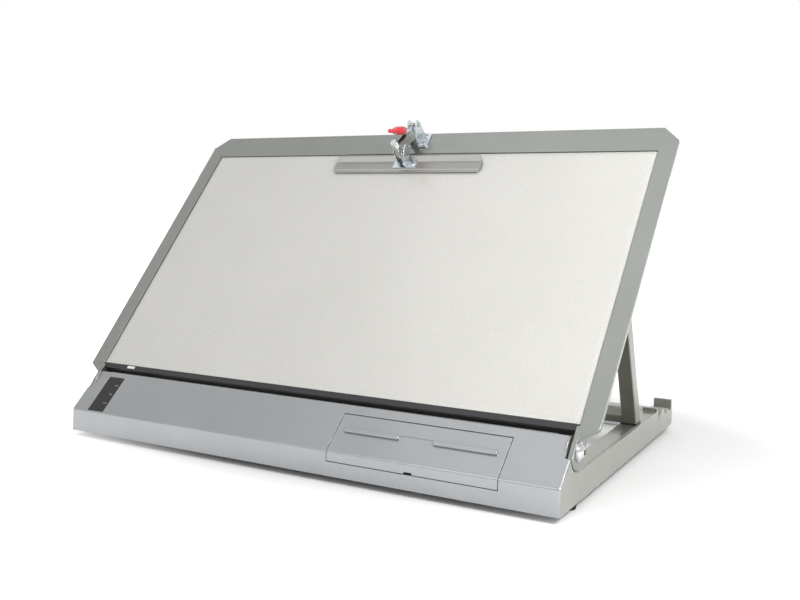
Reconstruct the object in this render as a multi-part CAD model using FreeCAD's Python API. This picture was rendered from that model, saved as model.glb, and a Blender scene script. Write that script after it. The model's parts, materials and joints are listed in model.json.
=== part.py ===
import FreeCAD, Part
import math
import os

# Tabletop drafting table: a sloping drawing board with a lit panel, hinged at the
# front on a wedge-shaped console, leaning on a swinging prop that stands on two side
# rails.  Millimetres.  The model is built with y = 0 at the front edge of the base and
# z = 0 under the base, then set down on its feet with the origin at the middle of the
# footprint, on the table top.
#
# Three sets of axes are used:
#   base   x across, y back, z up
#   board  x across, y up the slope, z out of the drawing face; origin on the hinge axis
#   prop   x across, z up along the legs; origin on the prop's pivot axis

# ---- driving dimensions ----
base_width = 700.0
base_depth = 420.0
foot_height = 8.0
foot_radius = 9.5
front_foot_inset = 11.5       # foot centre in from the rail's outer face
back_foot_inset = 16.0
foot_inset_front = 55.0
foot_inset_back = 30.0
foot_boss_radius = 6.5
foot_recess_radius = 4.5
foot_screw_radius = 2.0
foot_screw_head_radius = 3.8

rail_width = 24.0
rail_height = 33.0
rail_wall = 3.0
cheek_thickness = 9.0         # end wall of the console, part of the side rail

front_height = 29.4           # front face of the console, up to the bend
front_lean = 2.9
console_slope = 41.35         # degrees
console_slope_length = 67.7
console_back = 60.0           # y of the console's rear wall
console_back_top = 67.0       # z where the rear wall starts
cover_thickness = 3.0
bend_radius = 5.0
cover_end_radius = 2.4        # rounding where the cover meets the side faces
floor_thickness = 1.5
floor_screw_radius = 1.5
member_screw_radius = 2.0
groove_width = 1.0            # thin line along the rail's outer top edge
groove_inset = 2.4
groove_depth = 0.6

hinge_y = 52.0
hinge_z = 56.0
hinge_bolt_radius = 5.0
hinge_head_radius = 8.8
hinge_head_height = 5.4
hinge_head_dome = 10.2        # radius of the button head's dome
hinge_socket_flats = 6.0
hinge_washer_radius = 10.6
hinge_washer_thickness = 1.6
ear_radius = 20.4
ear_thickness = 5.5
ear_proud = 0.5               # ear's outer face beyond the rail's outer face
pocket_gap = 1.4              # around the ear, in the cheek
ear_side_gap = 2.0
bush_radius = 7.0
lug_radius = 16.0

board_tilt = 47.65            # degrees, resting on the prop
board_overhang = 20.4          # board's side edge beyond the rail's outer face
board_top = 451.2             # hinge axis to the top edge, along the slope
board_thickness = 5.4
board_face = 11.35            # drawing side of the frame, out from the hinge axis
board_chamfer = 21.2
top_border = 38.0
side_border = 22.3
panel_bottom = 27.0
panel_thickness = 4.6
panel_recess = 0.8
panel_bevel = 6.0
panel_gap = 0.6

tray_side_inset = 33.0         # tray's side wall in from the rail's outer face
tray_flange_margin = 12.4      # tray's flange in from the board's side and top edges
tray_bottom = 34.0
tray_top_inset = 45.2          # tray's upper wall down from the board's top edge
tray_depth = 14.0
sheet = 1.5
tray_screw_radius = 1.5
bracket_screw_radius = 2.0
pivot_bolt_radius = 4.0
ledge_start = 19.5            # up the board, where the dark ledge begins
light_guide_thickness = 4.0

lid_side_inset = 69.4          # lid's right edge in from the base's side
lid_width = 214.3
lid_slope_length = 51.1       # bend to the hinge nose
lid_lip = 11.9                # how far the lid wraps down the front face
lid_gap = 0.6
lid_nose_gap = 0.5            # between the lid's rounded hinge edge and the cover
lid_pin_radius = 0.8
lid_crease_depth = 0.5
bin_wall = 1.5
bin_front = 7.0
bin_back = 45.0
inlet_x = -250.0

window_inset = 27.8            # in from the base's left side
window_width = 27.6
window_start = 1.6            # from the bend, up the slope
window_length = 55.6

prop_lean = 19.0              # degrees back from upright
prop_tube = 18.0
prop_wall = 1.5
prop_side_inset = 3.0         # leg's outer side in from the rail's outer face
prop_foot_y = 265.5           # front edge of the foot
prop_pivot_behind_frame = 13.45   # pivot axis behind the back of the board's frame
pad_thickness = 1.5
rest_gap = 0.3                # between bodies that only rest on each other

tooth_width = 19.0
tooth_start = 346.0
tooth_height = 4.4            # above the rail top
notch_depth = 13.5            # below the rail top
notch_pitch = 34.0
stop_thickness = 5.0
stop_height = 1.7             # above the rail top
ledge_drop = 11.0             # rail top between the last notch and the stop

bar_length = 234.0
clamp_drawn_top = 451.2       # the clamp's outlines are drawn with the board's top edge here
bar_front = 376.0             # front edge of the clamp bar in those outlines
bar_width = 26.0
clamp_screw_radius = 1.6

run_gap = 0.05                # radial, between a pin and the hole it turns in
side_gap = 0.3                # between plates that slide past each other

# ---- values worked out from them ----
half_width = base_width / 2
rail_inner = half_width - rail_width
nose_radius = cover_thickness / 2
slope = math.radians(console_slope)
tilt = math.radians(board_tilt)
lean = math.radians(prop_lean)
bend = (front_lean, front_height)
ridge = (front_lean + console_slope_length * math.cos(slope),
         front_height + console_slope_length * math.sin(slope))
board_back = board_face - board_thickness
prop_pivot_depth = prop_pivot_behind_frame - board_back
board_half = half_width + board_overhang
panel_half = board_half - side_border - panel_gap
tray_half_width = half_width - tray_side_inset
tray_flange_half_width = board_half - tray_flange_margin
tray_top = board_top - tray_top_inset
lid_right = half_width - lid_side_inset
lid_left = lid_right - lid_width
window_left = window_inset - half_width
panel_top = board_top - top_border - panel_gap
panel_face = board_face - panel_recess
flange_back = board_back - sheet
tray_back = flange_back - tray_depth
ear_outer = half_width + ear_proud
ear_inner = ear_outer - ear_thickness
pocket_wall = ear_inner - ear_side_gap
pocket_radius = ear_radius + pocket_gap
leg_outer = half_width - prop_side_inset
leg_inner = leg_outer - prop_tube
foot_bottom = rail_height + rest_gap + pad_thickness
stop_front = base_depth - stop_thickness
rear_member_size = 20.0
rear_member_front = stop_front - rear_member_size
bracket_outer = leg_inner - 2.0
bracket_plate = 3.0
bracket_inner = bracket_outer - bracket_plate

# toggle clamp, in board axes: (up the slope, out of the face)
clamp_shift = board_top - clamp_drawn_top
clamp_arm_pivot = (434.0, board_face + 12.5)
clamp_handle_pivot = (424.0, board_face + 25.65)
clamp_link_pivot = (446.0, board_face + 23.0)
clamp_open_pivot = (435.9, board_face + 23.25)
rivet_radius = 1.6
link_half = 0.9               # the plates stand in lanes, from the middle outward
handle_lane = (1.2, 3.0)
arm_lane = (3.3, 5.1)
upright_lane = (5.4, 7.4)
spindle_up = 390.0
spindle_radius = 2.8
clamp_flange = 2.0
bar_base = panel_face + rest_gap + 1.6
bar_plate = 3.0
bar_seat = bar_base + bar_plate
bracket_sheet = 1.5
yoke_pin = (401.0, board_face + 28.6)
grip_start = (420.5, board_face + 38.5)
grip_end = (393.5, board_face + 65.5)


def prop_pivot_slope():
    """Distance up the board at which the pivot axis meets the leg's centre line."""
    centre_y = prop_foot_y + prop_tube / 2 / math.cos(lean)
    y0 = hinge_y + prop_pivot_depth * math.sin(tilt)
    z0 = hinge_z - prop_pivot_depth * math.cos(tilt)
    reach = centre_y - math.tan(lean) * (z0 - rail_height) - y0
    return reach / (math.cos(tilt) + math.tan(lean) * math.sin(tilt))


pivot_up = prop_pivot_slope()
pivot_y = hinge_y + pivot_up * math.cos(tilt) + prop_pivot_depth * math.sin(tilt)
pivot_z = hinge_z + pivot_up * math.sin(tilt) - prop_pivot_depth * math.cos(tilt)


# ---- small helpers ----
def vec(x, y, z):
    return FreeCAD.Vector(x, y, z)


def box(x0, x1, y0, y1, z0, z1):
    return Part.makeBox(x1 - x0, y1 - y0, z1 - z0, vec(x0, y0, z0))


def rod_x(x0, x1, y, z, radius):
    return Part.makeCylinder(radius, x1 - x0, vec(x0, y, z), vec(1, 0, 0))


def rod_z(x, y, z0, z1, radius):
    return Part.makeCylinder(radius, z1 - z0, vec(x, y, z0), vec(0, 0, 1))


def outline(points, radii=None):
    """Closed wire through (a, b) points, each corner rounded by its radius."""
    count = len(points)
    radii = radii or [0] * count
    starts, ends, middles = [], [], []
    for i, (a, b) in enumerate(points):
        here = vec(a, b, 0)
        to_last = (vec(*points[i - 1], 0) - here).normalize()
        to_next = (vec(*points[(i + 1) % count], 0) - here).normalize()
        half = to_last.getAngle(to_next) / 2
        if radii[i] == 0 or abs(half - math.pi / 2) < 1e-6:
            starts.append(here)
            ends.append(here)
            middles.append(None)
            continue
        back = radii[i] / math.tan(half)
        toward = (to_last + to_next).normalize()
        starts.append(here + to_last * back)
        ends.append(here + to_next * back)
        middles.append(here + toward * (radii[i] / math.sin(half) - radii[i]))
    edges = []
    for i in range(count):
        if middles[i] is not None:
            edges.append(Part.Arc(starts[i], middles[i], ends[i]).toShape())
        following = starts[(i + 1) % count]
        if (following - ends[i]).Length > 1e-6:
            edges.append(Part.LineSegment(ends[i], following).toShape())
    return Part.Wire(edges)


def slab_x(points, x0, x1, radii=None):
    """Plate between two x values; its outline is in the y-z plane."""
    solid = Part.Face(outline(points, radii)).extrude(vec(0, 0, x1 - x0))
    return solid.rotated(vec(0, 0, 0), vec(1, 1, 1), 120).translated(vec(x0, 0, 0))


def slab_z(points, z0, z1, radii=None):
    """Plate between two z values; its outline is in the x-y plane."""
    solid = Part.Face(outline(points, radii)).extrude(vec(0, 0, z1 - z0))
    return solid.translated(vec(0, 0, z0))


def mirrored(shape):
    return shape.mirror(vec(0, 0, 0), vec(1, 0, 0))


def both_sides(shape):
    return Part.makeCompound([shape, mirrored(shape)])


def union(shapes):
    return shapes[0].fuse(shapes[1:]).removeSplitter() if len(shapes) > 1 else shapes[0]


def hexagon(x, y, across_flats):
    corner = across_flats / math.sqrt(3)
    return [(x + corner * math.cos(math.radians(60 * i)),
             y + corner * math.sin(math.radians(60 * i))) for i in range(6)]


def on_board(shape):
    return shape.copy().rotated(vec(0, 0, 0), vec(1, 0, 0), board_tilt).translated(
        vec(0, hinge_y, hinge_z))


def clamp_on_board(shape):
    """The clamp keeps its distance from the board's top edge."""
    return on_board(shape.translated(vec(0, clamp_shift, 0)))


def on_prop(shape):
    return shape.copy().rotated(vec(0, 0, 0), vec(1, 0, 0), prop_lean).translated(
        vec(0, pivot_y, pivot_z))


def on_slope(shape):
    """From axes x across, y up the console's slope, z out of it; origin on the bend."""
    return shape.copy().rotated(vec(0, 0, 0), vec(1, 0, 0), console_slope).translated(
        vec(0, *bend))


def set_down(shape):
    return shape.translated(vec(0, -base_depth / 2, foot_height))


# ---- console profile ----
def meet(line_a, line_b):
    (p, r), (q, s) = line_a, line_b
    cross = r[0] * s[1] - r[1] * s[0]
    t = ((q[0] - p[0]) * s[1] - (q[1] - p[1]) * s[0]) / cross
    return (p[0] + t * r[0], p[1] + t * r[1])


def console_profile(inset):
    """Corners of the console's section, front bottom first, moved in by inset."""
    corners = [(0.0, 0.0), bend, ridge, (console_back, console_back_top), (console_back, 0.0)]
    lines = []
    for a, b in zip(corners, corners[1:]):
        run = (b[0] - a[0], b[1] - a[1])
        size = math.hypot(*run)
        run = (run[0] / size, run[1] / size)
        lines.append(((a[0] + inset * run[1], a[1] - inset * run[0]), run))
    floor = ((0.0, 0.0), (1.0, 0.0))
    chain = [floor] + lines + [floor]
    return [meet(a, b) for a, b in zip(chain, chain[1:])]


def profile_radii(inset):
    inner = max(bend_radius - inset, 1.0)
    return [0, inner, inner, inner, 0]


def ear_pocket():
    """Room for the board's ear in the outer face of the right cheek and cover."""
    reach = half_width + 5
    top = ridge[1] + 10
    return union([
        rod_x(pocket_wall, reach, hinge_y, hinge_z, pocket_radius),
        box(pocket_wall, reach, hinge_y - pocket_radius, console_back + 5, hinge_z, top),
        box(pocket_wall, reach, hinge_y, console_back + 5, rail_height, top)])


# ---- base ----
def rail_top_profile():
    """Notched rear end of the rail, from the front of the teeth to the end stop."""
    top = rail_height
    low = top - notch_depth
    first = tooth_start + 10.5
    second = first + notch_pitch
    return [(tooth_start, top + tooth_height), (tooth_start + 3, top + tooth_height),
            (first, low), (first + 14.5, top - 1), (first + 17.5, top - 1.6), (second, low),
            (second + 9.5, top - 6.5), (second + 13, top - ledge_drop),
            (stop_front, top - ledge_drop), (stop_front, top + stop_height),
            (base_depth, top + stop_height)]


def side_rail():
    """Right rail: a channel open below, the console's cheek in front, teeth behind."""
    front = console_back - cover_thickness
    channel = box(rail_inner, half_width, front, tooth_start, 0, rail_height).cut(
        box(rail_inner + rail_wall, half_width - rail_wall, front + rail_wall,
            tooth_start - 6, -1, rail_height - rail_wall))
    cheek = slab_x(console_profile(cover_thickness), half_width - cheek_thickness, half_width,
                   profile_radii(cover_thickness))
    lug = rod_x(half_width - cheek_thickness, pocket_wall, hinge_y, hinge_z, lug_radius)
    lug_web = box(half_width - cheek_thickness, pocket_wall, console_back - 10,
                  hinge_y + lug_radius, rail_height - 1, hinge_z)
    cheek_rail = box(half_width - cheek_thickness, half_width, hinge_y - 10, front + 1,
                     0, rail_height)
    teeth_points = rail_top_profile() + [(base_depth, 4.0), (base_depth - 4, 0),
                                         (tooth_start - 1, 0), (tooth_start - 1, rail_height),
                                         (tooth_start, rail_height)]
    teeth = slab_x(teeth_points, half_width - tooth_width, half_width)
    inner_points = [(y, min(z, rail_height)) for y, z in rail_top_profile()[1:-2]]
    inner_points += [(stop_front, rail_height + stop_height), (base_depth, rail_height + stop_height),
                     (base_depth, 4.0), (base_depth - 4, 0), (tooth_start - 1, 0),
                     (tooth_start - 1, rail_height)]
    inner = slab_x(inner_points, rail_inner, half_width - tooth_width)
    bosses = [rod_z(x, y, 0, rail_height - rail_wall, foot_boss_radius)
              for x, y in foot_places() if y < tooth_start - 8]
    groove = box(half_width - groove_inset - groove_width, half_width - groove_inset,
                 hinge_y + pocket_radius + 4, tooth_start - 4,
                 rail_height - groove_depth, rail_height + 1)
    solid = union([channel, cheek, cheek_rail, lug, lug_web, teeth, inner] + bosses).cut(groove)
    solid = solid.cut(ear_pocket().cut(
        box(pocket_wall, half_width + 5, hinge_y, base_depth, 0, rail_height)))
    solid = solid.cut(rod_x(rail_inner, half_width + 5, hinge_y, hinge_z, hinge_bolt_radius))
    holes = [rod_z(x, y, -1, 12, foot_screw_radius) for x, y in foot_places()]
    holes += [rod_x(rail_inner - 1, rail_inner + 14, rear_member_front + rear_member_size / 2,
                    z, member_screw_radius) for z in member_screw_heights()]
    return solid.cut(Part.makeCompound(holes)).removeSplitter()


def foot_places():
    return [(half_width - front_foot_inset, foot_inset_front),
            (half_width - back_foot_inset, base_depth - foot_inset_back)]


def member_screw_heights():
    return [7.0, 17.0]


def rear_member():
    """Square tube between the rails' rear ends, with an end plate at each side."""
    x = rail_inner
    low = 2.0
    outer = box(-x, x, rear_member_front, rear_member_front + rear_member_size,
                low, low + rear_member_size)
    hollow = box(-x - 1, x + 1, rear_member_front + 1.5, rear_member_front + rear_member_size - 1.5,
                 low + 1.5, low + rear_member_size - 1.5)
    plate = box(x - 3, x, rear_member_front, rear_member_front + rear_member_size,
                low, low + rear_member_size)
    holes = [rod_x(x - 4, x + 1, rear_member_front + rear_member_size / 2, z,
                   member_screw_radius) for z in member_screw_heights()]
    plate = plate.cut(Part.makeCompound(holes))
    return union([outer.cut(hollow), plate, mirrored(plate)])


def member_screws():
    y = rear_member_front + rear_member_size / 2
    screws = [union([rod_x(rail_inner - 3, rail_inner + 12, y, z, member_screw_radius),
                     rod_x(rail_inner - 5, rail_inner - 3, y, z, 3.5)])
              for z in member_screw_heights()]
    return both_sides(Part.makeCompound(screws))


def rubber_feet():
    feet = []
    for x, y in foot_places():
        foot = Part.makeCone(foot_radius - 1.5, foot_radius, foot_height,
                             vec(x, y, -foot_height))
        foot = foot.cut(rod_z(x, y, -foot_height - 1, -foot_height + 3, foot_recess_radius))
        feet.append(foot.cut(rod_z(x, y, -foot_height, 1, foot_screw_radius)))
    return both_sides(Part.makeCompound(feet))


def foot_screws():
    screws = [union([rod_z(x, y, -foot_height + 3, 11, foot_screw_radius),
                     rod_z(x, y, -foot_height + 1, -foot_height + 3, foot_screw_head_radius)])
              for x, y in foot_places()]
    return both_sides(Part.makeCompound(screws))


def lid_region(gap, nose_gap):
    """Section of the part of the cover that lifts, grown by gap at the lip and nose_gap behind."""
    up = (math.cos(slope), math.sin(slope))
    out = (-math.sin(slope), math.cos(slope))
    end = lid_slope_length + nose_gap
    edge = (bend[0] + up[0] * end, bend[1] + up[1] * end)
    low = front_height - lid_lip - gap
    return [(-10, low), (12, low), (edge[0] - 12 * out[0], edge[1] - 12 * out[1]),
            (edge[0] + 12 * out[0], edge[1] + 12 * out[1]), (-10, edge[1] + 12)]


def lid_axis():
    """(y, z) of the lid's hinge axis, in the middle of the cover's thickness."""
    along = lid_slope_length
    return (bend[0] + along * math.cos(slope) + nose_radius * math.sin(slope),
            bend[1] + along * math.sin(slope) - nose_radius * math.cos(slope))


def cover_shell(x0, x1, end_radius=0):
    outer = slab_x(console_profile(0), x0, x1, profile_radii(0))
    if end_radius:
        ends = [e for e in outer.Edges if abs(abs(e.CenterOfMass.x) - x1) < 1e-3
                and e.CenterOfMass.z > 1e-3]
        outer = outer.makeFillet(end_radius, ends)
        outer = outer.cut(box(x0 - 1, x1 + 1, -5, console_back + 5, -5, 0))
    inner = slab_x(console_profile(cover_thickness), x0 - 1, x1 + 1,
                   profile_radii(cover_thickness))
    return outer.cut(inner)


def console_cover():
    shell = cover_shell(-half_width, half_width, cover_end_radius)
    shell = shell.cut(slab_x(lid_region(lid_gap, nose_radius + lid_nose_gap), lid_left - lid_gap,
                             lid_right + lid_gap))
    shell = shell.cut(on_slope(box(window_left - 0.2, window_left + window_width + 0.2,
                                   window_start - 0.2, window_start + window_length + 0.2,
                                   -10, 10)))
    notch = box(half_width - cheek_thickness - 14, half_width, console_back - 8,
                console_back + 1, 12, console_back_top + 20)
    rail_room = box(rail_inner, half_width + 1, console_back - cover_thickness,
                    console_back + 1, -1, rail_height)
    lug_room = rod_x(half_width - cheek_thickness, pocket_wall, hinge_y, hinge_z, lug_radius)
    for cutter in (ear_pocket(), notch, rail_room, lug_room):
        shell = shell.cut(cutter).cut(mirrored(cutter))
    y, z = lid_axis()
    for x0 in (lid_left - lid_gap - 6, lid_right + lid_gap):
        shell = shell.cut(rod_x(x0, x0 + 6, y, z, lid_pin_radius))
    inlet = box(inlet_x - 6, inlet_x + 6, console_back - 8, console_back + 1, 14, 26)
    screws = Part.makeCompound([rod_z(x, y, -1, 8, floor_screw_radius) for x, y in floor_screw_places()])
    return shell.cut(inlet).cut(screws).removeSplitter()


def power_inlet():
    """DC socket in the rear wall of the console."""
    body = box(inlet_x - 6, inlet_x + 6, console_back - 14, console_back, 14, 26)
    rim = box(inlet_x - 8, inlet_x + 8, console_back, console_back + 1.2, 12, 28)
    socket = Part.makeCylinder(3.2, 10, vec(inlet_x, console_back + 2, 20), vec(0, -1, 0))
    contact = Part.makeCylinder(1.0, 9, vec(inlet_x, console_back - 8, 20), vec(0, 1, 0))
    return union([union([body, rim]).cut(socket), contact])


def floor_screw_places():
    side = half_width - 50
    return [(x, 8.0) for x in (-side, -130.0, lid_left - 26.3, side)]


def console_floor():
    """Flat pan that closes the console from below."""
    x = half_width - cheek_thickness
    front = console_profile(cover_thickness)[0][0]
    pan = box(-x, x, front + 0.2, console_back - cover_thickness - 0.2, 0, floor_thickness)
    flange = box(-rail_inner + 2, rail_inner - 2, console_back - cover_thickness - 0.2 - floor_thickness,
                 console_back - cover_thickness - 0.2, 0, 12)
    holes = Part.makeCompound([rod_z(x, y, -1, 3, floor_screw_radius) for x, y in floor_screw_places()])
    bosses = rod_z(*foot_places()[0], -1, 20, foot_boss_radius + 0.5)
    return union([pan, flange]).cut(holes).cut(both_sides(bosses))


def floor_blocks():
    """Screw blocks glued behind the cover's front face, over the pan."""
    blocks = []
    for x, y in floor_screw_places():
        block = box(x - 6, x + 6, y - 3.5, y + 4, floor_thickness, floor_thickness + 9)
        blocks.append(block.cut(rod_z(x, y, 0, floor_thickness + 7, floor_screw_radius)))
    return Part.makeCompound(blocks)


def floor_screws():
    return Part.makeCompound([
        union([rod_z(x, y, 0, floor_thickness + 6.5, floor_screw_radius), rod_z(x, y, -1.2, 0, 3.0)])
        for x, y in floor_screw_places()])


def bin_section(inset, top_extra):
    """Section of the storage bin; its rim runs a little below the lid."""
    under = cover_thickness / math.cos(slope) + 2.0

    def rim(y):
        return front_height + (y - front_lean) * math.tan(slope) - under + top_extra

    y0, y1 = bin_front + inset, bin_back - inset
    return [(y0, floor_thickness + inset), (y1, floor_thickness + inset), (y1, rim(y1)),
            (y0, rim(y0))]


def storage_bin():
    x0, x1 = lid_left + 1.5, lid_right - 1.5
    outer = slab_x(bin_section(0, 0), x0, x1)
    inner = slab_x(bin_section(bin_wall, 6), x0 + bin_wall, x1 - bin_wall)
    return outer.cut(inner)


def control_window():
    return on_slope(box(window_left, window_left + window_width, window_start,
                        window_start + window_length, -cover_thickness, 0))


def control_housing():
    """Shallow box under the window; it holds the touch board."""
    x0, x1 = window_left - 3, window_left + window_width + 3
    y0, y1 = window_start, window_start + window_length
    outer = box(x0, x1, y0 + 1, y1 - 3, -cover_thickness - 6, -cover_thickness)
    inner = box(x0 + 1.5, x1 - 1.5, y0 + 2.5, y1 - 4.5, -cover_thickness - 4.5, 0)
    return on_slope(outer.cut(inner))


def control_board():
    x0, x1 = window_left - 1, window_left + window_width + 1
    y0, y1 = window_start + 3, window_start + window_length - 5
    return on_slope(box(x0, x1, y0, y1, -cover_thickness - 4.5, -cover_thickness - 2.9))


def indicator_lights():
    """Three small lamps on the touch board, behind the window."""
    lamps = [rod_z(window_left + 20, window_start + 13.2 + 14.7 * i, -cover_thickness - 2.9,
                   -cover_thickness - 0.2, 1.6) for i in range(3)]
    return on_slope(Part.makeCompound(lamps))


def lid_catch():
    """Spring tongue on the bin's front wall that the lid's lip clicks over."""
    middle = (lid_left + lid_right) / 2
    tongue = box(middle - 7, middle + 7, bin_front - 1.4, bin_front, 6, 20)
    nib = rod_x(middle - 7, middle + 7, bin_front - 1.0, 19, 0.9)
    return union([tongue, nib])


def hinge_bolts():
    start = ear_outer + hinge_washer_thickness
    head = rod_x(start, start + hinge_head_height, hinge_y, hinge_z, hinge_head_radius)
    head = head.common(Part.makeSphere(hinge_head_dome, vec(
        start + hinge_head_height - hinge_head_dome, hinge_y, hinge_z)))
    socket = slab_x(hexagon(hinge_y, hinge_z, hinge_socket_flats), start + 1.2,
                    start + hinge_head_height + 1)
    shank = rod_x(half_width - cheek_thickness - 10, start, hinge_y, hinge_z, hinge_bolt_radius)
    return both_sides(union([head.cut(socket), shank]))


def hinge_washers():
    ring = rod_x(ear_outer + 0.1, ear_outer + hinge_washer_thickness, hinge_y, hinge_z,
                 hinge_washer_radius)
    return both_sides(ring.cut(rod_x(ear_outer - 1, ear_outer + 5, hinge_y, hinge_z,
                                     hinge_bolt_radius)))


def hinge_nuts():
    x1 = half_width - cheek_thickness
    nut = slab_x(hexagon(hinge_y, hinge_z, lug_radius), x1 - 8, x1)
    return both_sides(nut.cut(rod_x(x1 - 10, x1 + 1, hinge_y, hinge_z, hinge_bolt_radius)))


# ---- storage lid ----
def storage_lid():
    x0, x1 = lid_left, lid_right
    section = slab_x(lid_region(0, 0), x0, x1)
    plate = cover_shell(x0, x1).common(section)
    y, z = lid_axis()
    nose = rod_x(x0, x1, y, z, nose_radius)
    lid = union([plate, nose])
    for a in (x0, x1 - 8):
        lid = lid.cut(rod_x(a - 1, a + 9, y, z, lid_pin_radius + run_gap))
    middle = (x0 + x1) / 2
    low = front_height - lid_lip
    crease = on_slope(slab_z([(lid_left + 84, 33.2), (lid_right - 88, 33.2),
                              (lid_right - 88, 34.0), (lid_left + 84, 34.0)],
                             -lid_crease_depth, 1))
    notch = box(middle - 5, middle + 5, -5, 8, low - 1, low + 2.2)
    return lid.cut(notch).cut(crease).removeSplitter()


def lid_pins():
    y, z = lid_axis()
    return Part.makeCompound([rod_x(lid_left - lid_gap - 6, lid_left + 7.5, y, z, lid_pin_radius),
                              rod_x(lid_right - 7.5, lid_right + lid_gap + 6, y, z, lid_pin_radius)])


def lid_ribs():
    """Two raised finger ribs on the lid."""
    ribs = []
    for x0, x1 in ((lid_left + 10, lid_left + 84), (lid_right - 88, lid_right - 10)):
        rib = slab_z([(x0, 27), (x1, 27), (x1, 33), (x0, 33)], 0, 3.2, [2.9] * 4)
        top = [e for e in rib.Edges if abs(e.CenterOfMass.z - 3.2) < 1e-3]
        ribs.append(rib.makeFillet(1.2, top))
    return on_slope(Part.makeCompound(ribs))


# ---- board ----
def ear(x0, x1):
    """Hinge ear below the right side border."""
    proud = box(x0 - 1, x1 + 1, -ear_radius - 1, ear_radius + 1, board_face, ear_radius + 1)
    disc = rod_x(x0, x1, 0, 0, ear_radius).cut(proud)
    foot = math.sqrt(ear_radius ** 2 - board_face ** 2)
    web = slab_x([(0, -ear_radius), (62, -4), (78, board_back), (78, board_back), (0, board_back)][:3]
                 + [(0, board_back)], x0, x1)
    front = slab_x([(0, 0), (panel_bottom - 3, 0), (panel_bottom - 3, board_face), (foot, board_face)],
                   x0, x1)
    return union([disc, web, front])


def board_frame():
    """Cut plate, open at the bottom, with an ear at each lower corner."""
    x = board_half
    inner = x - side_border
    step = panel_bottom - 3
    right = [(ear_inner, 0), (ear_outer, 0), (ear_outer, 10), (x, 22), (x, board_top - board_chamfer),
             (x - board_chamfer, board_top), (0, board_top), (0, panel_top + panel_gap),
             (inner, panel_top + panel_gap), (inner, step), (ear_inner, step)]
    radii = [0, 0, 3, 7, 2, 2, 0, 0, 0.8, 0.8, 0]
    side = union([slab_z(right, board_back, board_face, radii), ear(ear_inner, ear_outer)])
    frame = union([side, mirrored(side)])
    holes = [rod_x(ear_inner - 1, ear_outer + 1, 0, 0, bush_radius),
             rod_x(-ear_outer - 1, -ear_inner + 1, 0, 0, bush_radius)]
    holes += [rod_z(a, b, board_back - 1, board_face + 1, clamp_screw_radius)
              for a, b in clamp_screw_places(clamp_shift)]
    holes += [rod_z(a, b, board_back - 1, board_back + 3.5, tray_screw_radius)
              for a, b in tray_screw_places()]
    holes += [rod_z(a, b, board_back - 1, board_back + 3.5, bracket_screw_radius)
              for a, b in bracket_screw_places()]
    return frame.cut(Part.makeCompound(holes)).removeSplitter()


def tray_screw_places():
    x = board_half - side_border + 6
    ups = [110, tray_top - 86, tray_top - 6]
    tops = [-280, -95, 95, 280]
    return [(s * x, v) for v in ups for s in (-1, 1)] + [(a, panel_top + 12) for a in tops]


def bracket_screw_places():
    x = board_half - side_border + 4.5
    return [(s * x, pivot_up - d) for s in (-1, 1) for d in (14, 26)]


def hinge_bushes():
    bush = rod_x(ear_inner, ear_outer, 0, 0, bush_radius).fuse(
        rod_x(ear_inner - ear_side_gap + 0.1, ear_inner, 0, 0, bush_radius + 2))
    return both_sides(bush.cut(rod_x(ear_inner - 2, ear_outer + 1, 0, 0,
                                     hinge_bolt_radius + run_gap)))


def drawing_panel():
    """Translucent drawing surface with a shallow bevel all round."""
    low = board_back
    edge = panel_face - 1.2
    slab = box(-panel_half, panel_half, panel_bottom, panel_top, low, edge)
    rings = []
    for inset, z in ((0, edge), (panel_bevel, panel_face)):
        rings.append(Part.makePolygon([vec(-panel_half + inset, panel_bottom + inset, z),
                                       vec(panel_half - inset, panel_bottom + inset, z),
                                       vec(panel_half - inset, panel_top - inset, z),
                                       vec(-panel_half + inset, panel_top - inset, z),
                                       vec(-panel_half + inset, panel_bottom + inset, z)]))
    return union([slab, Part.makeLoft(rings, True, True)])


def light_tray():
    """Back cover: a shallow pressed tray with a flange behind the frame."""
    x, w = tray_half_width, tray_flange_half_width
    flange = box(-w, w, ledge_start + 3, board_top - 12, flange_back, board_back)
    well = box(-x, x, tray_bottom, tray_top, tray_back, board_back)
    room = box(-x + sheet, x - sheet, tray_bottom + sheet, tray_top - sheet,
               tray_back + sheet, board_back + 1)
    tray = union([flange, well]).cut(room)
    ear_room = box(ear_inner - 0.5, w + 1, 0, 82, flange_back - 1, board_back + 1)
    tray = tray.cut(ear_room).cut(mirrored(ear_room))
    holes = [rod_z(a, b, flange_back - 1, board_back + 1, tray_screw_radius)
             for a, b in tray_screw_places()]
    holes += [rod_z(a, b, flange_back - 1, board_back + 1, bracket_screw_radius)
              for a, b in bracket_screw_places()]
    return tray.cut(Part.makeCompound(holes))


def tray_screws():
    screws = [union([rod_z(a, b, flange_back, board_back + 3, tray_screw_radius),
                     rod_z(a, b, flange_back - 1.6, flange_back, 3.0)])
              for a, b in tray_screw_places()]
    return Part.makeCompound(screws)


def light_guide():
    gap = sheet + 4
    return box(-tray_half_width + gap, tray_half_width - gap, tray_bottom + gap,
               tray_top - gap, board_back - light_guide_thickness - 0.2, board_back - 0.2)


def light_reflector():
    gap = sheet + 4
    top = board_back - light_guide_thickness - 0.2
    return box(-tray_half_width + gap, tray_half_width - gap, tray_bottom + gap,
               tray_top - gap, top - 0.8, top)


def led_strips():
    """Lamp strips along the lower and upper edges of the light guide."""
    x = tray_half_width - 12
    low = board_back - light_guide_thickness - 1.0
    strips = [box(-x, x, tray_bottom + sheet, tray_bottom + sheet + 2, low, board_back - 0.2),
              box(-x, x, tray_top - sheet - 2, tray_top - sheet, low, board_back - 0.2)]
    return Part.makeCompound(strips)


def guide_spacers():
    """Foam blocks that hold the light guide up off the tray."""
    low = tray_back + sheet
    top = board_back - light_guide_thickness - 1.0
    return Part.makeCompound([box(a - 15, a + 15, b - 8, b + 8, low, top)
                              for a in (-250, 0, 250) for b in (90, tray_top - 56)])


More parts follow.
